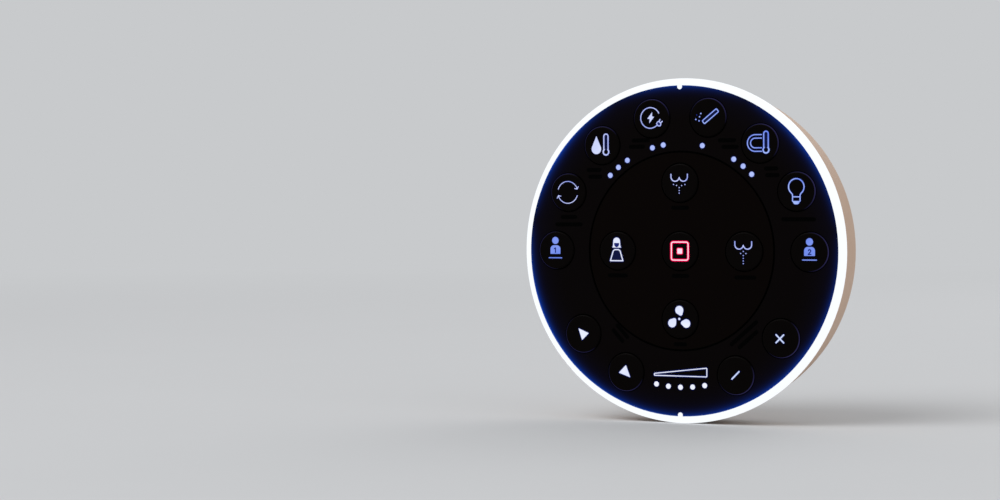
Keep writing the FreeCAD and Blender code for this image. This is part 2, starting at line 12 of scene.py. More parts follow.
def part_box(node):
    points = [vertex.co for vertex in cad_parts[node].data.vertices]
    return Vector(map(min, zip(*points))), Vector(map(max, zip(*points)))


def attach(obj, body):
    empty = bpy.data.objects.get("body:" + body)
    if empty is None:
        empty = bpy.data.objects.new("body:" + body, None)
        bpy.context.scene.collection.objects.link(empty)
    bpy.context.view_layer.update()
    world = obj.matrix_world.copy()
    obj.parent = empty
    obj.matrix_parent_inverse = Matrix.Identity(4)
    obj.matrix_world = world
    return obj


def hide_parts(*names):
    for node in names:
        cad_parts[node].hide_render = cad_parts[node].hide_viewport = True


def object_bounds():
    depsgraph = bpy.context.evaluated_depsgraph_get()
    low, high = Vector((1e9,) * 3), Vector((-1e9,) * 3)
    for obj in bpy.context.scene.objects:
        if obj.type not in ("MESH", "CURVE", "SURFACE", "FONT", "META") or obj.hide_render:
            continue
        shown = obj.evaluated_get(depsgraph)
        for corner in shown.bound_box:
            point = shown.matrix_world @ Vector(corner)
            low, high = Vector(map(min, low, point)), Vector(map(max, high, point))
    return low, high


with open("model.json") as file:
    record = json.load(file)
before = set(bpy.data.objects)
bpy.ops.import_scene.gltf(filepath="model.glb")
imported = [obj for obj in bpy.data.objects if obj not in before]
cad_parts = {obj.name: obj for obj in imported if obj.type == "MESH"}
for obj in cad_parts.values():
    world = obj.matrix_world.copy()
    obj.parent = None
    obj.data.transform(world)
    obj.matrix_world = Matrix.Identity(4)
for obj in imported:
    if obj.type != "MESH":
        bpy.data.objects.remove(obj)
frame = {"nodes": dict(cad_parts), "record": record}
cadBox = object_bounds()
nodes = frame["nodes"]
mm = 0.001

# the face's axis, read from the middle key, and the plane of the key tops
stopLow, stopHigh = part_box("key_stop")
faceZ = (stopLow.z + stopHigh.z) / 2
frontY = stopLow.y
bodyOf = {node: body for body, members in frame["record"]["behaviour"]["bodies"].items()
          for node in members}
keyNames = sorted(name for name in nodes if name.startswith("key_") and bodyOf[name] == name)


# shader maths

class Wire:
    # one output of a node, so that shader maths reads as an expression
    def __init__(self, tree, socket=None):
        self.tree = tree
        self.socket = socket

    def add(self, kind, settings=None, inputs=None, output=0):
        node = self.tree.nodes.new(kind)
        for name, value in (settings or {}).items():
            if name == "stops":
                ramp = node.color_ramp.elements
                while len(ramp) < len(value):
                    ramp.new(1.0)
                for element, (position, colour) in zip(ramp, value):
                    element.position = position
                    element.color = (*colour, 1.0)
            else:
                setattr(node, name, value)
        for name, value in (inputs or {}).items():
            if isinstance(value, Wire):
                self.tree.links.new(value.socket, node.inputs[name])
            else:
                node.inputs[name].default_value = value
        return Wire(self.tree, node.outputs[output])

    def maths(self, operation, *values):
        return self.add("ShaderNodeMath", {"operation": operation}, dict(enumerate(values)))

    def __add__(self, other):
        return self.maths("ADD", self, other)

    def __radd__(self, other):
        return self.maths("ADD", other, self)

    def __sub__(self, other):
        return self.maths("SUBTRACT", self, other)

    def __rsub__(self, other):
        return self.maths("SUBTRACT", other, self)

    def __mul__(self, other):
        return self.maths("MULTIPLY", self, other)

    def __rmul__(self, other):
        return self.maths("MULTIPLY", other, self)

    def __truediv__(self, other):
        return self.maths("DIVIDE", self, other)

    def __rtruediv__(self, other):
        return self.maths("DIVIDE", other, self)

    def __pow__(self, other):
        return self.maths("POWER", self, other)

    def __rpow__(self, other):
        return self.maths("POWER", other, self)

    def __gt__(self, other):
        return self.maths("GREATER_THAN", self, other)

    def __lt__(self, other):
        return self.maths("LESS_THAN", self, other)


def makeMaterial(name, fixed, build):
    # fixed holds constants for the shader's own sockets; build returns what changes over the surface
    material = bpy.data.materials.new(name)
    material.use_nodes = True
    surface = material.node_tree.nodes["Principled BSDF"]
    for socket, value in fixed.items():
        surface.inputs[socket].default_value = value
    place = Wire(material.node_tree).add("ShaderNodeTexCoord", output="Object")
    for socket, wire in build(place).items():
        material.node_tree.links.new(wire.socket, surface.inputs[socket])
    return material


def noise(place, scale, detail=2.0, roughness=0.5):
    # a size in millimetres of the largest grain, as a value from 0 to 1
    inputs = {"Vector": place, "Scale": 1000.0 / scale, "Detail": detail, "Roughness": roughness}
    return place.add("ShaderNodeTexNoise", {}, inputs, output="Fac")


def ramp(value, *stops):
    return value.add("ShaderNodeValToRGB", {"stops": stops}, {"Fac": value}, output="Color")


def grey(level):
    return (level, level, level)


def blend(factor, first, second):
    # colours in, colour out; the Mix node's colour sockets are numbers 6 and 7, its colour output is 2
    first, second = [(*c, 1.0) if isinstance(c, tuple) else c for c in (first, second)]
    return factor.add("ShaderNodeMix", {"data_type": "RGBA"}, {0: factor, 6: first, 7: second}, output=2)


def bump(height, distance, strength=1.0):
    # distance in millimetres
    return height.add("ShaderNodeBump", {},
                      {"Height": height, "Distance": distance * mm, "Strength": strength})


def radiusFromAxis(place):
    # distance in millimetres from the face's axis
    parts = [place.add("ShaderNodeSeparateXYZ", {}, {"Vector": place}, output=k) for k in (0, 2)]
    x, z = parts[0] * 1000.0, (parts[1] - faceZ) * 1000.0
    return (x * x + z * z) ** 0.5, x, z


def depthBehindKeys(place):
    # in millimetres, from the key tops towards the wall
    return (place.add("ShaderNodeSeparateXYZ", {}, {"Vector": place}, output=1) - frontY) * 1000.0


# finishes

shellPaint = {
    "colour": (0.61, 0.405, 0.275),     # warm champagne plastic
    "cloudy": (0.57, 0.37, 0.245),
    "grain": 0.35,                      # spark-eroded texture, millimetres
    "grainDepth": 0.005,
    "roughness": 0.42,
}


def shellFinish(place):
    clouds = noise(place, 28.0, 4.0, 0.6)
    grain = noise(place, shellPaint["grain"], 3.0, 0.6)
    smudge = noise(place, 9.0, 5.0, 0.65)
    colour = blend(clouds, shellPaint["colour"], shellPaint["cloudy"])
    colour = blend(grain * 0.05, colour, grey(0.30))
    return {
        "Base Color": colour,
        "Roughness": shellPaint["roughness"] + smudge * 0.16 - grain * 0.05,
        "Normal": bump(grain, shellPaint["grainDepth"], 0.6),
    }


facePaint = {
    "colour": (0.0018, 0.0008, 0.0006),     # smoked black, warm in the middle
    "outer": (0.0019, 0.0011, 0.0012),
    "warmRadius": 36.5,
    "grain": 0.22,
    "roughness": 0.33,
    "glowColour": (0.003, 0.066, 0.62),     # what the lit ring leaks into the plate
    "glowEdge": 60.4,
    "glowReach": 13.0,                      # the glow is gone this far in from the edge
    "glowSharp": (14.0, 0.45),              # power of the fall-off inwards, and share of the glow
    "glowWide": (5.0, 0.028),
    # a broad, faint painted glow of the ring's light in the plate, fading inwards over the same reach
    "broadGlowColour": (0.0005, 0.0007, 0.0036),
    "broadGlowPower": 1.5,
}
# strength of the leaked glow round the plate, at each share of a turn from the bottom,
# anticlockwise as seen from the front
glowTurns = ((0.0, 0.50), (0.10, 0.78), (0.20, 0.45), (0.27, 0.04), (0.36, 0.85), (0.43, 0.06), (0.50, 0.55),
             (0.57, 0.06), (0.65, 0.92), (0.72, 0.04), (0.80, 0.90), (0.90, 0.72), (1.0, 0.50))


def glowLevel(x, z):
    turn = (x.maths("ARCTAN2", x, z * -1.0) / (2 * math.pi) + 1.0)
    return ramp(turn.maths("FRACT", turn), *[(at, grey(level)) for at, level in glowTurns])


def combine(way, first, second):
    # two colours added or multiplied; the first one is a wire
    return first.add("ShaderNodeMix", {"data_type": "RGBA", "blend_type": way},
                     {0: 1.0, 6: first, 7: second}, 2)


def faceFinish(place):
    radius, x, z = radiusFromAxis(place)
    grain = noise(place, facePaint["grain"], 2.0, 0.5)
    smudge = noise(place, 16.0, 4.0, 0.6)
    outer = radius > facePaint["warmRadius"]
    inwards = facePaint["glowEdge"] - radius
    near = 1.0 - inwards.add("ShaderNodeClamp", {}, {"Value": inwards / facePaint["glowReach"]}, output=0)
    sharp, sharpShare = facePaint["glowSharp"]
    wide, wideShare = facePaint["glowWide"]
    leak = (near ** sharp) * sharpShare + (near ** wide) * wideShare
    glow = combine("MULTIPLY", blend(leak, grey(0.0), facePaint["glowColour"]), glowLevel(x, z))
    # painted light: a broad, faint glow of the ring painted into the plate as emission, added to the sharper
    # glow
    broadGlow = blend(near ** facePaint["broadGlowPower"], grey(0.0), facePaint["broadGlowColour"])
    return {
        "Base Color": blend(outer, facePaint["colour"], facePaint["outer"]),
        "Roughness": facePaint["roughness"] + smudge * 0.10 + grain * 0.04,
        "Normal": bump(grain, 0.003, 0.35),
        "Emission Color": combine("ADD", glow, broadGlow),
    }


keyPaint = {
    "colour": (0.0016, 0.0010, 0.0009),
    "worn": (0.0022, 0.0016, 0.0015),
    "rimLight": (0.020, 0.018, 0.066),      # the ring's light on the outward side of each outer key
    "rimFrom": 49.5, "rimTo": 57.2,         # millimetres from the middle of the face
    "rimFront": 0.102, "rimBack": 0.62,     # millimetres behind the key tops
    "grain": 0.18,
    "roughness": 0.26,
}


def keyFinish(place):
    grain = noise(place, keyPaint["grain"], 2.0, 0.5)
    wear = noise(place, 3.2, 5.0, 0.65)
    radius = radiusFromAxis(place)[0]
    depth = depthBehindKeys(place)
    span = keyPaint["rimTo"] - keyPaint["rimFrom"]
    lightUp = place.add("ShaderNodeClamp", {}, {"Value": (radius - keyPaint["rimFrom"]) / span})
    rim = lightUp * (depth > keyPaint["rimFront"]) * (depth < keyPaint["rimBack"])
    return {
        "Base Color": blend(wear * 0.5, keyPaint["colour"], keyPaint["worn"]),
        "Emission Color": blend(rim, grey(0.0), keyPaint["rimLight"]),
        "Roughness": keyPaint["roughness"] + wear * 0.13,
        "Normal": bump(grain, 0.003, 0.3),
    }


# the light of each lit part; a shade is its colour where the film passes less light
litPaint = {
    "ring": (0.955, 0.975, 0.985), "ringShade": (0.90, 0.94, 1.0), "ringStrength": 1.0,
    "wall": (0.012, 0.070, 0.42),           # the ring's inner wall
    "wallRadius": 60.85, "wallFront": 0.302,    # it is inside this radius and this far behind the key tops
    "symbol": (0.62, 0.68, 1.0), "symbolShade": (0.28, 0.36, 0.90), "symbolStrength": 1.0,
    "blue": (0.40, 0.53, 1.0), "blueShade": (0.15, 0.25, 0.92),
    "pale": (0.66, 0.76, 1.0), "paleShade": (0.50, 0.62, 0.98),
    "bold": (0.67, 0.73, 0.99), "boldShade": (0.55, 0.61, 0.96),
    "bright": (0.86, 0.90, 1.0), "brightShade": (0.68, 0.74, 1.0),
    "soft": (0.24, 0.34, 0.90), "softShade": (0.14, 0.24, 0.82),
    "dots": (0.47, 0.57, 1.0), "dotsShade": (0.38, 0.47, 0.95),
    "whiteDots": (0.88, 0.90, 1.0),
    "halo": (0.005, 0.010, 0.095), "blueHalo": (0.006, 0.016, 0.17), "brightHalo": (0.005, 0.013, 0.13),
    "inside": (0.0035, 0.006, 0.045), "dim": (0.009, 0.017, 0.16),
    "stop": (0.98, 0.88, 0.98), "stopShade": (0.96, 0.66, 0.84),
    "stopHalo": (0.90, 0.001, 0.085),
}


def litFinish(colour, shade, size=1.4):
    # a backlit surface: its light is uneven, as through a frosted film
    def build(place):
        frost = noise(place, size, 3.0, 0.5)
        return {
            "Base Color": blend(frost, grey(0.0016), grey(0.0024)),
            "Emission Color": blend((frost - 0.5) * 2.4 + 0.42, colour, shade),
            "Roughness": 0.35 + frost * 0.1,
        }
    return build


def ringFinish(place):
    # white on its front and outer side; its inner wall shows deep blue
    frost = noise(place, 0.5, 2.0, 0.5)
    radius, x, z = radiusFromAxis(place)
    wall = (radius < litPaint["wallRadius"]) * (depthBehindKeys(place) > litPaint["wallFront"])
    white = blend(frost, litPaint["ring"], litPaint["ringShade"])
    blue = combine("MULTIPLY", glowLevel(x, z), (*litPaint["wall"], 1.0))
    return {
        "Base Color": blend(frost, grey(0.020), grey(0.026)),
        "Emission Color": blend(wall, white, blue),
        "Roughness": 0.40 + frost * 0.12,
        "Normal": bump(frost, 0.005, 0.3),
    }


def plainFinish(colour, darker, size, roughness, depth, speckle=0.0):
    # moulded or rubber parts: clouds of one size, a fine grain and a bump
    def build(place):
        clouds = noise(place, size, 4.0, 0.6)
        grain = noise(place, size * 0.06, 3.0, 0.6)
        shade = blend(clouds, colour, darker)
        return {
            "Base Color": blend(grain * speckle, shade, grey(0.5)) if speckle else shade,
            "Roughness": roughness + clouds * 0.18 - 0.06,
            "Normal": bump(grain, depth, 0.5),
        }
    return build


def metalFinish(colour, darker, roughness):
    # plated metal: fine level lines, dulled in patches
    def build(place):
        lines = place.add("ShaderNodeMapping", {}, {"Vector": place, "Scale": (1.0, 1.0, 9.0)})
        brushed = noise(lines, 1.2, 4.0, 0.7)
        patches = noise(place, 4.0, 3.0, 0.6)
        return {
            "Base Color": blend(patches, colour, darker),
            "Roughness": roughness + brushed * 0.20 + patches * 0.08,
            "Normal": bump(brushed, 0.004, 0.4),
        }
    return build


foamPaint = {"pores": 1900.0, "dark": 0.035, "pale": 0.11}      # pores to the metre, levels of grey


def foamFinish(place):
    cells = place.add("ShaderNodeTexVoronoi", {}, {"Vector": place, "Scale": foamPaint["pores"]},
                      output="Distance")
    clouds = noise(place, 7.0, 3.0, 0.6)
    return {
        "Base Color": blend(cells, grey(foamPaint["dark"]), grey(foamPaint["pale"])),
        "Roughness": 0.82 + clouds * 0.12,
        "Normal": bump(cells, 0.12, 0.8),
    }


cellWrap = {
    "body": (0.030, 0.045, 0.070),
    "band": (0.55, 0.25, 0.09), "bandFrom": 14.0,       # millimetres to the right of the middle
    "can": (0.62, 0.62, 0.60), "canFrom": 24.9,         # millimetres to either side
}


def cellFinish(place):
    # plastic wrap with a copper-coloured band towards the right
    x = place.add("ShaderNodeSeparateXYZ", {}, {"Vector": place}, output=0) * 1000.0
    band = x > cellWrap["bandFrom"]
    can = x.maths("ABSOLUTE", x) > cellWrap["canFrom"]
    scuffs = noise(place, 2.5, 6.0, 0.7)
    colour = blend(can, blend(band, cellWrap["body"], cellWrap["band"]), cellWrap["can"])
    return {
        "Base Color": blend(scuffs * 0.12, colour, grey(0.5)),
        "Metallic": band * 0.75 + can * 0.2,
        "Roughness": 0.22 + scuffs * 0.22,
    }


boardPaint = {
    "mask": (0.010, 0.085, 0.040), "track": (0.020, 0.150, 0.070),
    "tracks": 420.0, "trackWidth": 0.06,                # scale of the pattern, width within it
}


def boardFinish(place):
    # solder mask over copper: straight tracks show as a faint relief
    sizes = {"Vector": place, "Scale": boardPaint["tracks"], "Mortar Size": boardPaint["trackWidth"]}
    tracks = place.add("ShaderNodeTexBrick", {}, sizes, output="Fac")
    clouds = noise(place, 5.0, 3.0, 0.6)
    return {
        "Base Color": blend(tracks, boardPaint["mask"], boardPaint["track"]),
        "Roughness": 0.30 + clouds * 0.15,
        "Normal": bump(tracks, 0.03, 0.5),
    }


faint = {"Specular IOR Level": 0.02}        # hardly reflects
lit = {**faint, "Emission Strength": litPaint["symbolStrength"]}
finishes = {
    "shell_plastic": makeMaterial("shellPlastic", {}, shellFinish),
    "face_black": makeMaterial("faceBlack", {**faint, "Emission Strength": 1.0}, faceFinish),
    "key_black": makeMaterial("keyBlack", {**faint, "Emission Strength": 1.0}, keyFinish),
    "lit_ring": makeMaterial("litRing", {"Emission Strength": litPaint["ringStrength"]}, ringFinish),
    "lit_dot": makeMaterial("litDot", lit, litFinish(litPaint["dots"], litPaint["dotsShade"])),
    "foam": makeMaterial("foamTape", {}, foamFinish),
    "steel": makeMaterial("zincSteel", {"Metallic": 1.0}, metalFinish(grey(0.58), grey(0.44), 0.24)),
    "nickel": makeMaterial("nickelPlate", {"Metallic": 1.0},
                           metalFinish((0.70, 0.68, 0.62), grey(0.52), 0.14)),
    "shield_can": makeMaterial("tinnedCan", {"Metallic": 1.0}, metalFinish(grey(0.62), grey(0.50), 0.28)),
    "capacitor": makeMaterial("drawnCan", {"Metallic": 1.0}, metalFinish(grey(0.66), grey(0.55), 0.20)),
    "seal_rubber": makeMaterial("sealRubber", {},
                                plainFinish(grey(0.030), grey(0.018), 5.0, 0.62, 0.03, 0.06)),
    "inner_black": makeMaterial("innerBlack", faint,
                                plainFinish(grey(0.0016), grey(0.0010), 9.0, 0.60, 0.02)),
    "silicone": makeMaterial("silicone", {}, plainFinish(grey(0.42), grey(0.36), 8.0, 0.45, 0.02)),
    "chip": makeMaterial("chipEpoxy", {}, plainFinish(grey(0.028), grey(0.020), 3.0, 0.55, 0.02, 0.04)),
    "lamp": makeMaterial("lampBody", {},
                         plainFinish((0.85, 0.80, 0.55), (0.78, 0.70, 0.42), 1.0, 0.35, 0.01)),
    "coil": makeMaterial("ferrite", {}, plainFinish(grey(0.085), grey(0.055), 2.0, 0.60, 0.03, 0.08)),
    "board": makeMaterial("solderMask", {}, boardFinish),
    "cell_wrap": makeMaterial("cellWrap", {"Coat Roughness": 0.2}, cellFinish),
}
whiteDots = makeMaterial("litWhiteDot", lit, litFinish(litPaint["whiteDots"], litPaint["bright"]))
for row in frame["record"]["subparts"]:
    shown = nodes[row["node"]]
    shown.data.materials.clear()
    shown.data.materials.append(finishes[row["material_slot"]])
nodes["lower_light_pipes"].data.materials[0] = whiteDots
print("finishes:", len(finishes) + 1, "on", len(nodes), "nodes")


# keys: a cap with a rounded edge and a shallow dish for the fingertip, on its flange and plunger

keyShape = {
    "cap": 7.1, "edge": 0.6,                            # radii of the cap and of its rounded edge
    "dish": 0.10, "flat": 6.45,                         # depth of the dish and radius of its rim
    "flange": 7.8, "flangeFront": 3.2, "flangeBack": 4.0,   # a radius, then depths behind the key top
    "plunger": 1.5, "plungerBack": 5.6,
    "steps": 72, "dishSteps": 8, "edgeSteps": 7,        # round the key, across the dish, over the edge
    "merge": 0.001, "smooth": 40,                       # points this close are one; degrees
    "slant": (1.0, 37.3, 911.7),                        # a direction in which no two points are level
}


def keyCentre(name):
    low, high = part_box(name)
    return Vector(((low.x + high.x) / 2, frontY, (low.z + high.z) / 2))


def dishDepth(radius):
    share = min(radius / keyShape["flat"], 1.0)
    return keyShape["dish"] * (1.0 - share * share)


def keyProfile():
    # (radius, depth) from the middle of the dish to the middle of the plunger's end
    shape = keyShape
    radii = [shape["flat"] * k / shape["dishSteps"] for k in range(shape["dishSteps"] + 1)]
    points = [(radius, dishDepth(radius)) for radius in radii]
    for k in range(1, shape["edgeSteps"] + 1):
        a = math.radians(90 * k / shape["edgeSteps"])
        points.append((shape["cap"] - shape["edge"] * (1 - math.sin(a)), shape["edge"] * (1 - math.cos(a))))
    points += [(shape["cap"], shape["flangeFront"]), (shape["flange"], shape["flangeFront"]),
               (shape["flange"], shape["flangeBack"]), (shape["plunger"], shape["flangeBack"]),
               (shape["plunger"], shape["plungerBack"]), (0.0, shape["plungerBack"])]
    return points


def facingOut(centre):
    # from a flat drawing in millimetres, X right and Y up, to the face; its Z comes towards the viewer
    return Matrix.Translation(centre) @ Matrix.Rotation(math.radians(90), 4, "X") @ Matrix.Scale(mm, 4)


def linkPiece(name, bm, material, body, smooth=None):
    mesh = bpy.data.meshes.new(name)
    bm.to_mesh(mesh)
    bm.free()
    mesh.materials.append(material)
    piece = bpy.data.objects.new(name, mesh)
    bpy.context.scene.collection.objects.link(piece)
    if smooth is not None:
        mesh.shade_smooth()
        mesh.set_sharp_from_angle(angle=math.radians(smooth))
    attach(piece, body)
    return piece


def makeKey(name):
    bm = bmesh.new()
    verts = [bm.verts.new((radius, 0.0, -depth)) for radius, depth in keyProfile()]
    edges = [bm.edges.new(pair) for pair in zip(verts, verts[1:])]
    bmesh.ops.spin(bm, geom=verts + edges, cent=(0, 0, 0), axis=(0, 0, 1), angle=math.radians(360),
                   steps=keyShape["steps"], use_merge=True)
    bmesh.ops.remove_doubles(bm, verts=bm.verts, dist=keyShape["merge"])
    bmesh.ops.recalc_face_normals(bm, faces=bm.faces)
    # merging leaves the faces in another order each run, so they are put in one order along a slanted line
    slant = Vector(keyShape["slant"])
    bm.verts.sort(key=lambda vert: vert.co.dot(slant))
    bm.faces.sort(key=lambda face: face.calc_center_median().dot(slant))
    bmesh.ops.transform(bm, matrix=facingOut(keyCentre(name)), verts=bm.verts)
    piece = linkPiece(name + "_cap", bm, finishes["key_black"], name, keyShape["smooth"])
    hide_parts(name)
    return piece


for name in keyNames:
    makeKey(name)
print("keys:", len(keyNames))


# symbols: thin lit films let into the dish of each key

symbolFilm = {
    "thickness": 0.05, "join": 0.006,                   # corners closer than join become one
    "haloLift": 0.010, "insideLift": 0.018, "litLift": 0.026, "markLift": 0.058,    # above the dish
}
strokeSteps = {
    "dot": 12, "disc": 32, "dotBelow": 0.5,             # sides of a disc, and of one under this radius
    "join": 16, "drop": 48, "corner": 4,                # sides of a round join and a drop, steps of a corner
    "arcTurn": 7, "arcLeast": 6,                        # degrees to a step of an arc, and its fewest steps
}


# strokes in millimetres from the key's middle, X right and Y up:
# disc x y radius / arc x y radius width from to / line width points / shape corner points (filled)
# loop corner width points (a closed stroke) / drop x y radius x y radius

def thermometerStrokes(x, top, bottom):
    # outline of a glass tube on its bulb
    half, neck = 0.86, bottom + 0.85
    return [("arc", x, top, half, 0.45, 0, 180), ("line", 0.45, (x - half, top), (x - half, neck)),
            ("line", 0.45, (x + half, top), (x + half, neck)), ("arc", x, bottom, 1.12, 0.51, 130, 410)]


def washStrokes(x, y, arms):
    # two round cheeks that meet in the middle, open at the top
    cheek, width = 1.62, 0.38
    left, right = x - 2 * cheek, x + 2 * cheek
    return [("arc", x - cheek, y, cheek, width, 180, 350), ("arc", x + cheek, y, cheek, width, 190, 360),
            ("line", width, (left, y), (left, y + arms)), ("line", width, (right, y), (right, y + arms))]


def spray(radius, *points):
    return [("disc", x, y, radius) for x, y in points]


def fanStrokes(x, y):
    # hub and three blades
    strokes = [("disc", x, y, 0.42)]
    for angle in (0, 120, 240):
        turn = Matrix.Rotation(math.radians(angle), 2)
        wide, narrow = turn @ Vector((0.02, 3.22)), turn @ Vector((0.55, 1.95))
        strokes.append(("drop", x + wide.x, y + wide.y, 1.56, x + narrow.x, y + narrow.y, 0.74))
    return strokes


symbols = {
    "key_oscillate": {"lit": [
        ("arc", -0.15, 0.0, 4.10, 0.27, 163, 20), ("line", 0.26, (2.68, 1.42), (3.72, 1.18), (4.22, 2.18)),
        ("line", 0.27, (3.20, 1.32), (3.88, 1.70)),
        ("arc", -0.15, 0.0, 4.10, 0.27, -17, -160),
        ("line", 0.26, (-2.98, -1.42), (-4.02, -1.18), (-4.52, -2.18)),
        ("line", 0.27, (-3.50, -1.32), (-4.18, -1.70))]},
    "key_water_heat": {"bold": [("drop", -2.2, -1.3, 1.92, -2.2, 3.35, 0.06)],
        "lit": thermometerStrokes(1.7, 3.32, -2.45),
        "fill": [("line", 1.05, (1.7, 3.25), (1.7, -1.45))]},
    "key_energy_save": {"lit": [
        ("arc", -0.46, 0.2, 3.80, 0.34, 27, 312),
        ("loop", 0.22, 0.40, (2.02, -1.88), (2.90, -1.00), (3.82, -1.92), (3.52, -2.78), (2.66, -2.76)),
        ("line", 0.38, (3.10, -1.20), (3.40, -0.45)), ("line", 0.38, (3.62, -1.72), (4.32, -1.15))],
        "bold": [("shape", 0.08, (0.30, 2.30), (-1.62, -0.05), (-0.68, -0.25), (-0.85, -1.75), (1.02, 0.55),
                  (0.22, 0.80))],
        "mark": [("drop", 2.65, -1.80, 0.32, 3.10, -2.10, 0.32)]},
    "key_nozzle_rinse": {"lit": [
        ("loop", 0.34, 0.36, (-2.16, -1.22), (3.34, 3.12), (4.24, 2.05), (-1.30, -2.30))]
        + spray(0.25, (-2.70, 1.45), (-3.20, 0.28), (-4.65, -0.65), (-3.40, -1.20)),
        "fill": [("line", 0.90, (-1.40, -1.52), (3.45, 2.33))], "mark": spray(0.26, (-4.30, 0.95)),
        "tone": "blue"},
    "key_seat_heat": {"lit": [
        ("arc", -1.70, 0.10, 3.00, 0.35, 90, 270), ("line", 0.35, (-1.70, 3.10), (0.70, 3.10)),
        ("line", 0.35, (-1.70, -2.90), (0.70, -2.90)),
        ("arc", -1.75, 0.10, 1.75, 0.35, 90, 270), ("line", 0.35, (-1.75, 1.85), (0.70, 1.85)),
        ("line", 0.35, (-1.75, -1.65), (0.70, -1.65))] + thermometerStrokes(2.40, 3.42, -2.40),
        "fill": [("line", 1.05, (2.40, 3.35), (2.40, -1.40))], "tone": "blue"},
    "key_night_light": {"lit": [
        ("arc", 0.0, 1.65, 2.92, 0.40, -52, 232),
        ("line", 0.38, (-1.80, -0.64), (-1.46, -1.15), (-1.38, -2.00)),
        ("line", 0.38, (1.80, -0.64), (1.46, -1.15), (1.38, -2.00)),
        ("loop", 0.30, 0.36, (-1.42, -1.95), (1.42, -1.95), (1.42, -3.62), (-1.42, -3.62)),
        ("shape", 0.45, (-1.42, -3.45), (1.42, -3.45), (0.82, -4.62), (-0.82, -4.62))],
        "tone": "blue"},
    "key_more": {"lit": [
        ("line", 0.51, (-1.78, 1.33), (1.08, -1.53)), ("line", 0.51, (-1.78, -1.53), (1.08, 1.33))],
        "tone": "pale"},
    "key_less": {"lit": [("line", 0.53, (-1.36, -1.26), (1.36, 1.46))], "tone": "pale"},
    "key_nozzle_in": {"lit": [("shape", 0.28, (0.05, 2.62), (-2.82, -0.28), (1.78, -1.88))],
        "tone": "bright"},
    "key_nozzle_out": {"lit": [("shape", 0.28, (-1.86, 2.00), (2.34, 0.26), (-0.40, -2.38))],
        "tone": "bright"},
    "key_wide_wash": {"lit": washStrokes(-0.15, 2.20, 0.95)
        + spray(0.20, (-2.40, -0.60), (-1.20, -0.95), (0.80, -1.00), (2.10, -0.60),
                (-0.15, -1.75), (-0.15, -2.80), (-0.15, -3.75))},
    "key_rear_wash": {"lit": washStrokes(-0.20, 2.50, 1.10)
        + spray(0.20, (-0.20, 0.05), (-1.20, -0.70), (0.80, -0.70),
                (-0.20, -1.45), (-0.20, -2.45), (-0.20, -3.40), (-0.20, -4.35))},
    "key_dryer": {"lit": fanStrokes(-0.25, 0.12), "tone": "bright"},
    "key_front_wash": {"lit": [
        ("drop", -0.25, 3.52, 1.34, -0.25, 2.60, 1.42),
        ("shape", 0.12, (-1.67, 2.80), (1.17, 2.80), (1.20, 2.00), (1.52, 1.14), (-2.02, 1.14), (-1.70, 2.00)),
        ("arc", -0.65, -0.75, 1.13, 0.42, 90, 164), ("arc", 0.15, -0.75, 1.13, 0.42, 90, 16),
        ("line", 0.42, (-0.65, 0.38), (0.15, 0.38)),
        ("line", 0.42, (-1.74, -0.44), (-2.76, -3.74), (2.26, -3.74), (1.24, -0.44))],
        "fill": [("shape", 0.50, (-1.45, 0.22), (0.95, 0.22), (2.08, -3.60), (-2.58, -3.60))],
        "mark": [("shape", 0.12, (-1.25, 2.84), (0.75, 2.84), (0.75, 2.20), (0.44, 1.54), (-0.25, 1.22),
                  (-0.94, 1.54), (-1.25, 2.20))],
        "tone": "bright"},
    "key_stop": {"lit": [
        ("loop", 0.75, 0.36, (-3.30, 3.30), (3.30, 3.30), (3.30, -3.30), (-3.30, -3.30)),
        ("shape", 0.25, (-0.95, 0.95), (0.95, 0.95), (0.95, -0.95), (-0.95, -0.95))], "tone": "stop"},
}


def userSymbol(shift, digit):
    # head and shoulders with a digit on the chest and a plain bar beneath
    left, right = shift - 2.03, shift + 2.03
    return {"lit": [("disc", shift, 3.65, 1.32),
                    ("drop", shift - 0.62, 0.42, 1.42, shift + 0.62, 0.42, 1.42),
                    ("shape", 0.12, (left, 0.45), (right, 0.45), (right, -1.38), (left, -1.38)),
                    ("line", 0.36, (shift - 2.60, -2.85), (shift + 2.60, -2.85))],
            "mark": digit, "tone": "soft"}


symbols["key_user_one"] = userSymbol(-0.4, [("line", 0.42, (-0.85, 0.55), (-0.36, 0.85), (-0.36, -0.85))])
symbols["key_user_two"] = userSymbol(0.0, [("arc", 0.02, 0.40, 0.45, 0.40, 165, -35),
                                           ("line", 0.40, (0.40, 0.14), (-0.50, -0.85), (0.56, -0.85))])


def drawDisc(bm, x, y, radius, grow=0.0):
    sides = strokeSteps["dot" if radius < strokeSteps["dotBelow"] else "disc"]
    bmesh.ops.create_circle(bm, cap_ends=True, segments=sides, radius=radius + grow,
                            matrix=Matrix.Translation((x, y, 0)))


def drawArc(bm, x, y, radius, width, start, end, grow=0.0):
    # a stroke swept round a centre, with round ends
    centre = Vector((x, y, 0))
    rays = [Vector((math.cos(math.radians(a)), math.sin(math.radians(a)), 0)) for a in (start, end)]
    half = width / 2 + grow
    inner, outer = [bm.verts.new(centre + rays[0] * reach) for reach in (radius - half, radius + half)]
    edge = bm.edges.new((inner, outer))
    steps = max(strokeSteps["arcLeast"], int(abs(end - start) / strokeSteps["arcTurn"]))
    bmesh.ops.spin(bm, geom=[inner, outer, edge], cent=centre, axis=(0, 0, 1),
                   angle=math.radians(end - start), steps=steps)
    for ray in rays:
        drawDisc(bm, *(centre + ray * radius).xy, half)


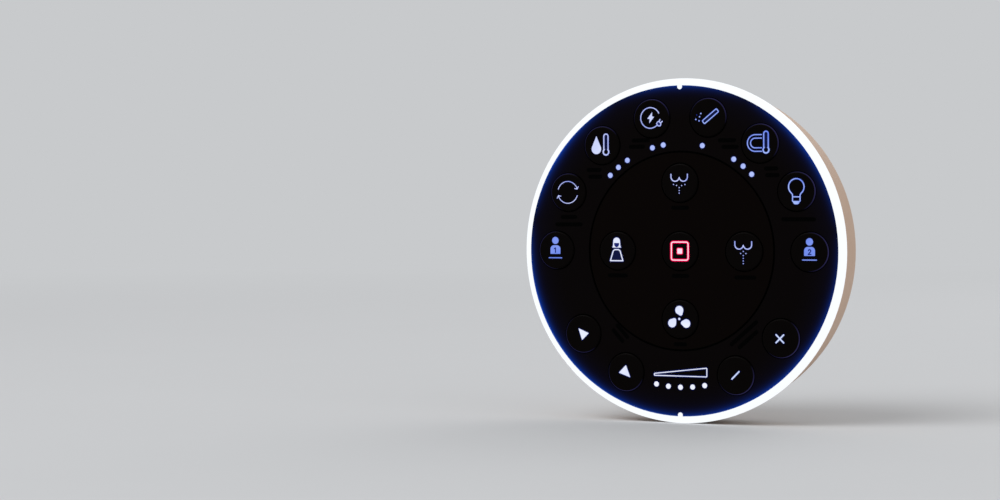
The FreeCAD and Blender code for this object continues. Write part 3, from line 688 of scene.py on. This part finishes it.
def drawLine(bm, width, *points, grow=0.0):
    # straight strokes from point to point, with round joins and ends
    half = width / 2 + grow
    points = [Vector((*point, 0)) for point in points]
    for start, end in zip(points, points[1:]):
        side = (end - start).normalized().cross(Vector((0, 0, 1))) * half
        edge = bm.edges.new((bm.verts.new(start + side), bm.verts.new(start - side)))
        grown = bmesh.ops.extrude_edge_only(bm, edges=[edge])["geom"]
        moved = [part for part in grown if isinstance(part, bmesh.types.BMVert)]
        bmesh.ops.translate(bm, vec=end - start, verts=moved)
    for point in points[1:] if points[0] == points[-1] else points:
        bmesh.ops.create_circle(bm, cap_ends=True, segments=strokeSteps["join"], radius=half,
                                matrix=Matrix.Translation(point))


def roundedFace(bm, corner, points):
    # an outline with rounded corners, filled; gives the face and the points of its rim
    face = bm.faces.new([bm.verts.new((*point, 0)) for point in points])
    made = bmesh.ops.bevel(bm, geom=list(face.verts), offset=corner, segments=strokeSteps["corner"],
                           profile=0.5, affect="VERTICES", material=-1)["verts"]
    face = made[0].link_faces[0]
    return face, [vert.co.xy for vert in face.verts]


def drawShape(bm, corner, *points, grow=0.0):
    rim = roundedFace(bm, corner, points)[1]
    if grow:
        drawLine(bm, 0.0, *rim, rim[0], grow=grow)


def drawLoop(bm, corner, width, *points, grow=0.0):
    # a stroke along a closed outline with rounded corners
    face, rim = roundedFace(bm, corner, points)
    bmesh.ops.delete(bm, geom=[face], context="FACES")
    drawLine(bm, width, *rim, rim[0], grow=grow)


def drawDrop(bm, x, y, radius, tipX, tipY, tipRadius, grow=0.0):
    # a circle drawn out to a smaller one
    big, tip = Vector((x, y, 0)), Vector((tipX, tipY, 0))
    reach = tip - big
    limit = (radius - tipRadius) / reach.length
    for vert in bmesh.ops.create_circle(bm, cap_ends=True, segments=strokeSteps["drop"], radius=1.0)["verts"]:
        ray = vert.co.copy()
        towards = ray.dot(reach.normalized()) > limit
        vert.co = tip + ray * (tipRadius + grow) if towards else big + ray * (radius + grow)


pens = {
    "disc": drawDisc, "arc": drawArc, "line": drawLine,
    "shape": drawShape, "loop": drawLoop, "drop": drawDrop,
}
# the light of each symbol, where it is weaker, the light of its edge and how far that reaches past a stroke
films = {
    "cool": (litPaint["symbol"], litPaint["symbolShade"], litPaint["halo"], 0.15),
    "blue": (litPaint["blue"], litPaint["blueShade"], litPaint["blueHalo"], 0.15),
    "pale": (litPaint["pale"], litPaint["paleShade"], litPaint["brightHalo"], 0.18),
    "bold": (litPaint["bold"], litPaint["boldShade"], litPaint["halo"], 0.15),
    "bright": (litPaint["bright"], litPaint["brightShade"], litPaint["brightHalo"], 0.26),
    "soft": (litPaint["soft"], litPaint["softShade"], litPaint["halo"], 0.15),
    "stop": (litPaint["stop"], litPaint["stopShade"], litPaint["stopHalo"], 0.34),
}
filmMaterials = {tone: (makeMaterial(tone + "Film", lit, litFinish(colour, shade, 4.5)),
                        makeMaterial(tone + "Halo", lit, litFinish(halo, halo)), reach)
                 for tone, (colour, shade, halo, reach) in films.items()}
markMaterial = makeMaterial("markFilm", lit, litFinish(litPaint["dim"], litPaint["dim"]))
insideMaterial = makeMaterial("insideFilm", lit, litFinish(litPaint["inside"], litPaint["inside"]))


def drawFilm(strokes, grow=0.0):
    # overlapping strokes are joined to one sheet; only triangles over a stroke are kept
    bm = bmesh.new()
    for kind, *values in strokes:
        pens[kind](bm, *values, grow=grow)
    bm.verts.index_update()
    drawn = BVHTree.FromBMesh(bm)
    points = [vert.co.xy for vert in bm.verts]
    corners = [[vert.index for vert in face.verts] for face in bm.faces]
    points, _, triangles, *_ = delaunay_2d_cdt(points, [], corners, 1, symbolFilm["join"])
    bm.clear()
    verts = [bm.verts.new((*point, 0)) for point in points]
    for a, b, c in triangles:
        middle = (points[a] + points[b] + points[c]) / 3
        if drawn.ray_cast((*middle, 1), (0, 0, -1))[0]:
            bm.faces.new((verts[a], verts[b], verts[c]))
    bmesh.ops.delete(bm, geom=[vert for vert in verts if not vert.link_faces], context="VERTS")
    bmesh.ops.remove_doubles(bm, verts=bm.verts, dist=symbolFilm["join"])
    bmesh.ops.dissolve_degenerate(bm, edges=bm.edges, dist=symbolFilm["join"])
    return bm


def laidOn(bm, name, centre, material, body):
    # moves a drawing to its place on the face and gives it its thickness, back into the face
    bmesh.ops.transform(bm, matrix=facingOut(centre), verts=bm.verts)
    piece = linkPiece(name, bm, material, body)
    thickness = piece.modifiers.new("thickness", "SOLIDIFY")
    thickness.thickness = symbolFilm["thickness"] * mm
    thickness.offset = -1.0


def makeFilm(name, layer, bm, material, lift):
    # the film of a key's symbol follows the dish and stays below the key's rim
    for vert in bm.verts:
        vert.co.z = min(lift - dishDepth(math.hypot(vert.co.x, vert.co.y)), 0.0)
    laidOn(bm, name + "_" + layer, keyCentre(name), material, name)


for name, symbol in symbols.items():
    film, halo, reach = filmMaterials[symbol.get("tone", "cool")]
    shining = symbol["lit"] + symbol.get("bold", [])
    makeFilm(name, "halo", drawFilm(shining, reach), halo, symbolFilm["haloLift"])
    if "fill" in symbol:
        makeFilm(name, "inside", drawFilm(symbol["fill"]), insideMaterial, symbolFilm["insideLift"])
    makeFilm(name, "symbol", drawFilm(symbol["lit"]), film, symbolFilm["litLift"])
    if "bold" in symbol:
        bold = filmMaterials["bold"][0]
        makeFilm(name, "bold_symbol", drawFilm(symbol["bold"]), bold, symbolFilm["litLift"])
    if "mark" in symbol:
        makeFilm(name, "mark", drawFilm(symbol["mark"]), markMaterial, symbolFilm["markLift"])
print("symbols:", len(symbols))


# films on the plate round the keys: an edge of light round each indicator, a level wedge over the
# lower row of indicators and plain unlit bars beside the keys

plateFilm = {
    "lift": 0.015, "dotEdge": 0.24, "dotSides": 32,
    "wedge": ((-10.4, -45.9), (10.4, -45.9), (10.4, -42.7), (-10.4, -45.2)),
    "wedgeLine": 0.34, "wedgeCorner": 0.30,
    "barHeight": 1.45, "barCorner": 0.48,               # the corner as a share of the height
    "bar": (0.00012, 0.00012, 0.00015),
}
# x y from the middle of the key, length and turn in degrees; those of the plate count from its own middle
labelBars = {
    "key_oscillate": ((0.1, -9.2, 6.6, 0), (0.1, -12.0, 11.2, 0)),
    "key_water_heat": ((-3.4, -9.1, 6.0, 0), (-2.9, -11.6, 5.6, 0)),
    "key_energy_save": ((-4.5, -8.0, 7.2, 0), (-6.0, -10.3, 6.4, 0)),
    "key_nozzle_rinse": ((7.3, -8.4, 7.0, 0), (8.5, -10.8, 6.6, 0)),
    "key_seat_heat": ((4.2, -9.1, 5.4, 0), (4.7, -11.5, 5.4, 0)),
    "key_night_light": ((0.7, -10.0, 13.0, 0),),
    "key_wide_wash": ((0.0, -9.1, 7.0, 0),),
    "key_front_wash": ((0.0, -9.2, 8.0, 0),),
    "key_stop": ((0.0, -9.1, 6.8, 0),),
    "key_rear_wash": ((0.4, -9.4, 8.4, 0),),
    "key_dryer": ((0.0, -9.2, 5.2, 0),),
    "face_plate": ((-25.0, -31.6, 6.7, -47), (-23.2, -29.9, 7.2, -47),
                   (24.8, -29.6, 14.0, 41), (26.4, -31.9, 10.0, 41)),
}


def barFinish(place):
    grain = noise(place, 0.15, 2.0, 0.5)
    return {
        "Base Color": blend(grain, plateFilm["bar"], grey(0.0002)),
        "Roughness": 0.75 + grain * 0.2,
    }


def solidCentres(nodeName):
    # the middle of each separate solid of a node, from left to right
    bm = bmesh.new()
    bm.from_mesh(nodes[nodeName].data)
    bmesh.ops.remove_doubles(bm, verts=bm.verts, dist=0.01 * mm)
    left, centres = set(bm.verts), []
    while left:
        waiting = [left.pop()]
        corners = []
        while waiting:
            vert = waiting.pop()
            corners.append(vert.co)
            linked = {edge.other_vert(vert) for edge in vert.link_edges} & left
            left -= linked
            waiting += linked
        centres.append([(min(c[i] for c in corners) + max(c[i] for c in corners)) / 2 for i in (0, 2)])
    bm.free()
    return sorted((x / mm, (z - faceZ) / mm) for x, z in centres)


plateCentre = Vector((0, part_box("face_plate")[0].y - plateFilm["lift"] * mm, faceZ))
pipeRadius = (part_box("upper_light_pipes")[1].x / mm) - solidCentres("upper_light_pipes")[-1][0]
edges = bmesh.new()
for x, y in solidCentres("upper_light_pipes") + solidCentres("lower_light_pipes"):
    made = bmesh.ops.create_circle(edges, cap_ends=True, segments=plateFilm["dotSides"],
                                   radius=pipeRadius + plateFilm["dotEdge"],
                                   matrix=Matrix.Translation((x, y, 0)))
    disc = made["verts"][0].link_faces[0]
    bmesh.ops.inset_individual(edges, faces=[disc], thickness=plateFilm["dotEdge"])
    bmesh.ops.delete(edges, geom=[disc], context="FACES")
laidOn(edges, "indicator_edges", plateCentre, filmMaterials["cool"][1], "remote")

wedge = [("loop", plateFilm["wedgeCorner"], plateFilm["wedgeLine"], *plateFilm["wedge"])]
brightFilm, brightHalo, reach = filmMaterials["bright"]
laidOn(drawFilm(wedge, reach), "level_wedge_halo", plateCentre, brightHalo, "remote")
plateCentre.y -= plateFilm["lift"] * mm
laidOn(drawFilm(wedge), "level_wedge", plateCentre, brightFilm, "remote")

bars = []
for name, places in labelBars.items():
    middle = keyCentre(name) / mm
    for x, y, length, turn in places:
        along = Vector((math.cos(math.radians(turn)), math.sin(math.radians(turn)))) * length / 2
        up = along.orthogonal().normalized() * plateFilm["barHeight"] / 2
        at = Vector((middle.x + x, middle.z - faceZ / mm + y))
        bars.append(("shape", plateFilm["barHeight"] * plateFilm["barCorner"],
                     at - along - up, at + along - up, at + along + up, at - along + up))
labelInk = makeMaterial("labelInk", faint, barFinish)
laidOn(drawFilm(bars), "label_bars", plateCentre, labelInk, "remote")
print("plate films:", len(bars), "bars")


# stage, light and camera

stageSet = {
    "floorSize": 60.0,                      # metres
    "floor": (0.58, 0.59, 0.605), "floorShade": 0.985, "floorClouds": 60.0,     # clouds in millimetres
    "backdrop": (0.578, 0.590, 0.604),
    "fadeFrom": 0.35, "fadeTo": 1.9,        # metres from the object, where the floor turns into the backdrop
    "ambient": 0.58,
    "keyPower": 4.2, "keySize": 0.8, "keyPlace": (-0.75, -1.00, 1.05),
    "fillPower": 2.6, "fillSize": 1.2, "fillPlace": (1.50, -0.70, 0.60),
    "rearPower": 3.4, "rearSize": 1.0, "rearPlace": (0.30, 1.30, 0.95),
    "sunPower": 1.05, "sunWidth": 40.0,     # watts to the square metre, degrees
    "sunTurn": (38.0, -24.0),               # degrees about X and Y
}


def makeFloor():
    bm = bmesh.new()
    half = stageSet["floorSize"] / 2
    bmesh.ops.create_grid(bm, x_segments=2, y_segments=2, size=half,
                          matrix=Matrix.Translation((0, 0, cadBox[0][2])))
    mesh = bpy.data.meshes.new("floor")
    bm.to_mesh(mesh)
    bm.free()
    floor = bpy.data.objects.new("floor", mesh)
    bpy.context.scene.collection.objects.link(floor)
    material = bpy.data.materials.new("paleFloor")
    material.use_nodes = True
    tree = material.node_tree
    surface = tree.nodes["Principled BSDF"]
    surface.inputs["Roughness"].default_value = 0.85
    surface.inputs["Specular IOR Level"].default_value = 0.1
    place = Wire(tree).add("ShaderNodeTexCoord", output="Object")
    shade = tuple(c * stageSet["floorShade"] for c in stageSet["floor"])
    colour = blend(noise(place, stageSet["floorClouds"], 3.0), stageSet["floor"], shade)
    tree.links.new(colour.socket, surface.inputs["Base Color"])
    distance = place.add("ShaderNodeVectorMath", {"operation": "LENGTH"}, {0: place}, output="Value")
    fade = distance.add("ShaderNodeMapRange", {"interpolation_type": "SMOOTHSTEP"},
                        {"Value": distance, "From Min": stageSet["fadeFrom"], "From Max": stageSet["fadeTo"]})
    far = fade.add("ShaderNodeEmission", {}, {"Color": (*stageSet["backdrop"], 1.0)})
    near = Wire(tree, surface.outputs["BSDF"])
    both = fade.add("ShaderNodeMixShader", {}, {0: fade, 1: near, 2: far})
    tree.links.new(both.socket, tree.nodes["Material Output"].inputs["Surface"])
    mesh.materials.append(material)


def makeWorld():
    world = bpy.data.worlds.new("studio")
    world.use_nodes = True
    bpy.context.scene.world = world
    tree = world.node_tree
    background = tree.nodes["Background"]
    rays = [Wire(tree).add("ShaderNodeLightPath", output=kind) for kind in
            ("Is Camera Ray", "Is Glossy Ray", "Is Transmission Ray")]
    seen = rays[0].maths("MAXIMUM", rays[0], rays[1].maths("MAXIMUM", rays[1], rays[2]))
    colour = blend(seen, grey(stageSet["ambient"]), stageSet["backdrop"])
    tree.links.new(colour.socket, background.inputs["Color"])


def makeLamp(name):
    lamp = bpy.data.lights.new(name, "AREA")
    lamp.energy = stageSet[name + "Power"]
    lamp.size = stageSet[name + "Size"]
    shown = bpy.data.objects.new(name + "Lamp", lamp)
    bpy.context.scene.collection.objects.link(shown)
    shown.location = stageSet[name + "Place"]
    aim = Vector((0, 0, faceZ)) - shown.location
    shown.rotation_euler = aim.to_track_quat("-Z", "Y").to_euler()


def makeSun():
    # a broad overhead light that lights the floor evenly out to where it fades
    sun = bpy.data.lights.new("sun", "SUN")
    sun.energy = stageSet["sunPower"]
    sun.angle = math.radians(stageSet["sunWidth"])
    shown = bpy.data.objects.new("sunLamp", sun)
    bpy.context.scene.collection.objects.link(shown)
    shown.rotation_euler = [math.radians(a) for a in (*stageSet["sunTurn"], 0.0)]


cameraSet = {
    "turn": 22.44, "rise": 1.38, "distance": 881.8,     # place from the middle of the face, degrees and mm
    "pan": 26.722, "tilt": -1.340, "roll": -0.235,      # where it points, degrees
    "lens": 86.4, "sensor": 36.0,
    "nearest": 0.01, "furthest": 100.0,                 # metres
}


def makeCamera():
    data = bpy.data.cameras.new("camera")
    data.lens = cameraSet["lens"]
    data.sensor_width = cameraSet["sensor"]
    data.clip_start = cameraSet["nearest"]
    data.clip_end = cameraSet["furthest"]
    shown = bpy.data.objects.new("camera", data)
    bpy.context.scene.collection.objects.link(shown)
    turn, rise = math.radians(cameraSet["turn"]), math.radians(cameraSet["rise"])
    away = Vector((math.sin(turn) * math.cos(rise), -math.cos(turn) * math.cos(rise), math.sin(rise)))
    place = Vector((0, frontY, faceZ)) + away * cameraSet["distance"] * mm
    shown.matrix_world = (Matrix.Translation(place) @ Matrix.Rotation(math.radians(cameraSet["pan"]), 4, "Z")
                          @ Matrix.Rotation(math.radians(90 + cameraSet["tilt"]), 4, "X")
                          @ Matrix.Rotation(math.radians(cameraSet["roll"]), 4, "Z"))
    bpy.context.scene.camera = shown


makeFloor()
makeWorld()
for lampName in ("key", "fill", "rear"):
    makeLamp(lampName)
makeSun()
makeCamera()
bpy.context.scene.view_settings.view_transform = "Standard"
print("stage: floor, world, four lamps, camera")
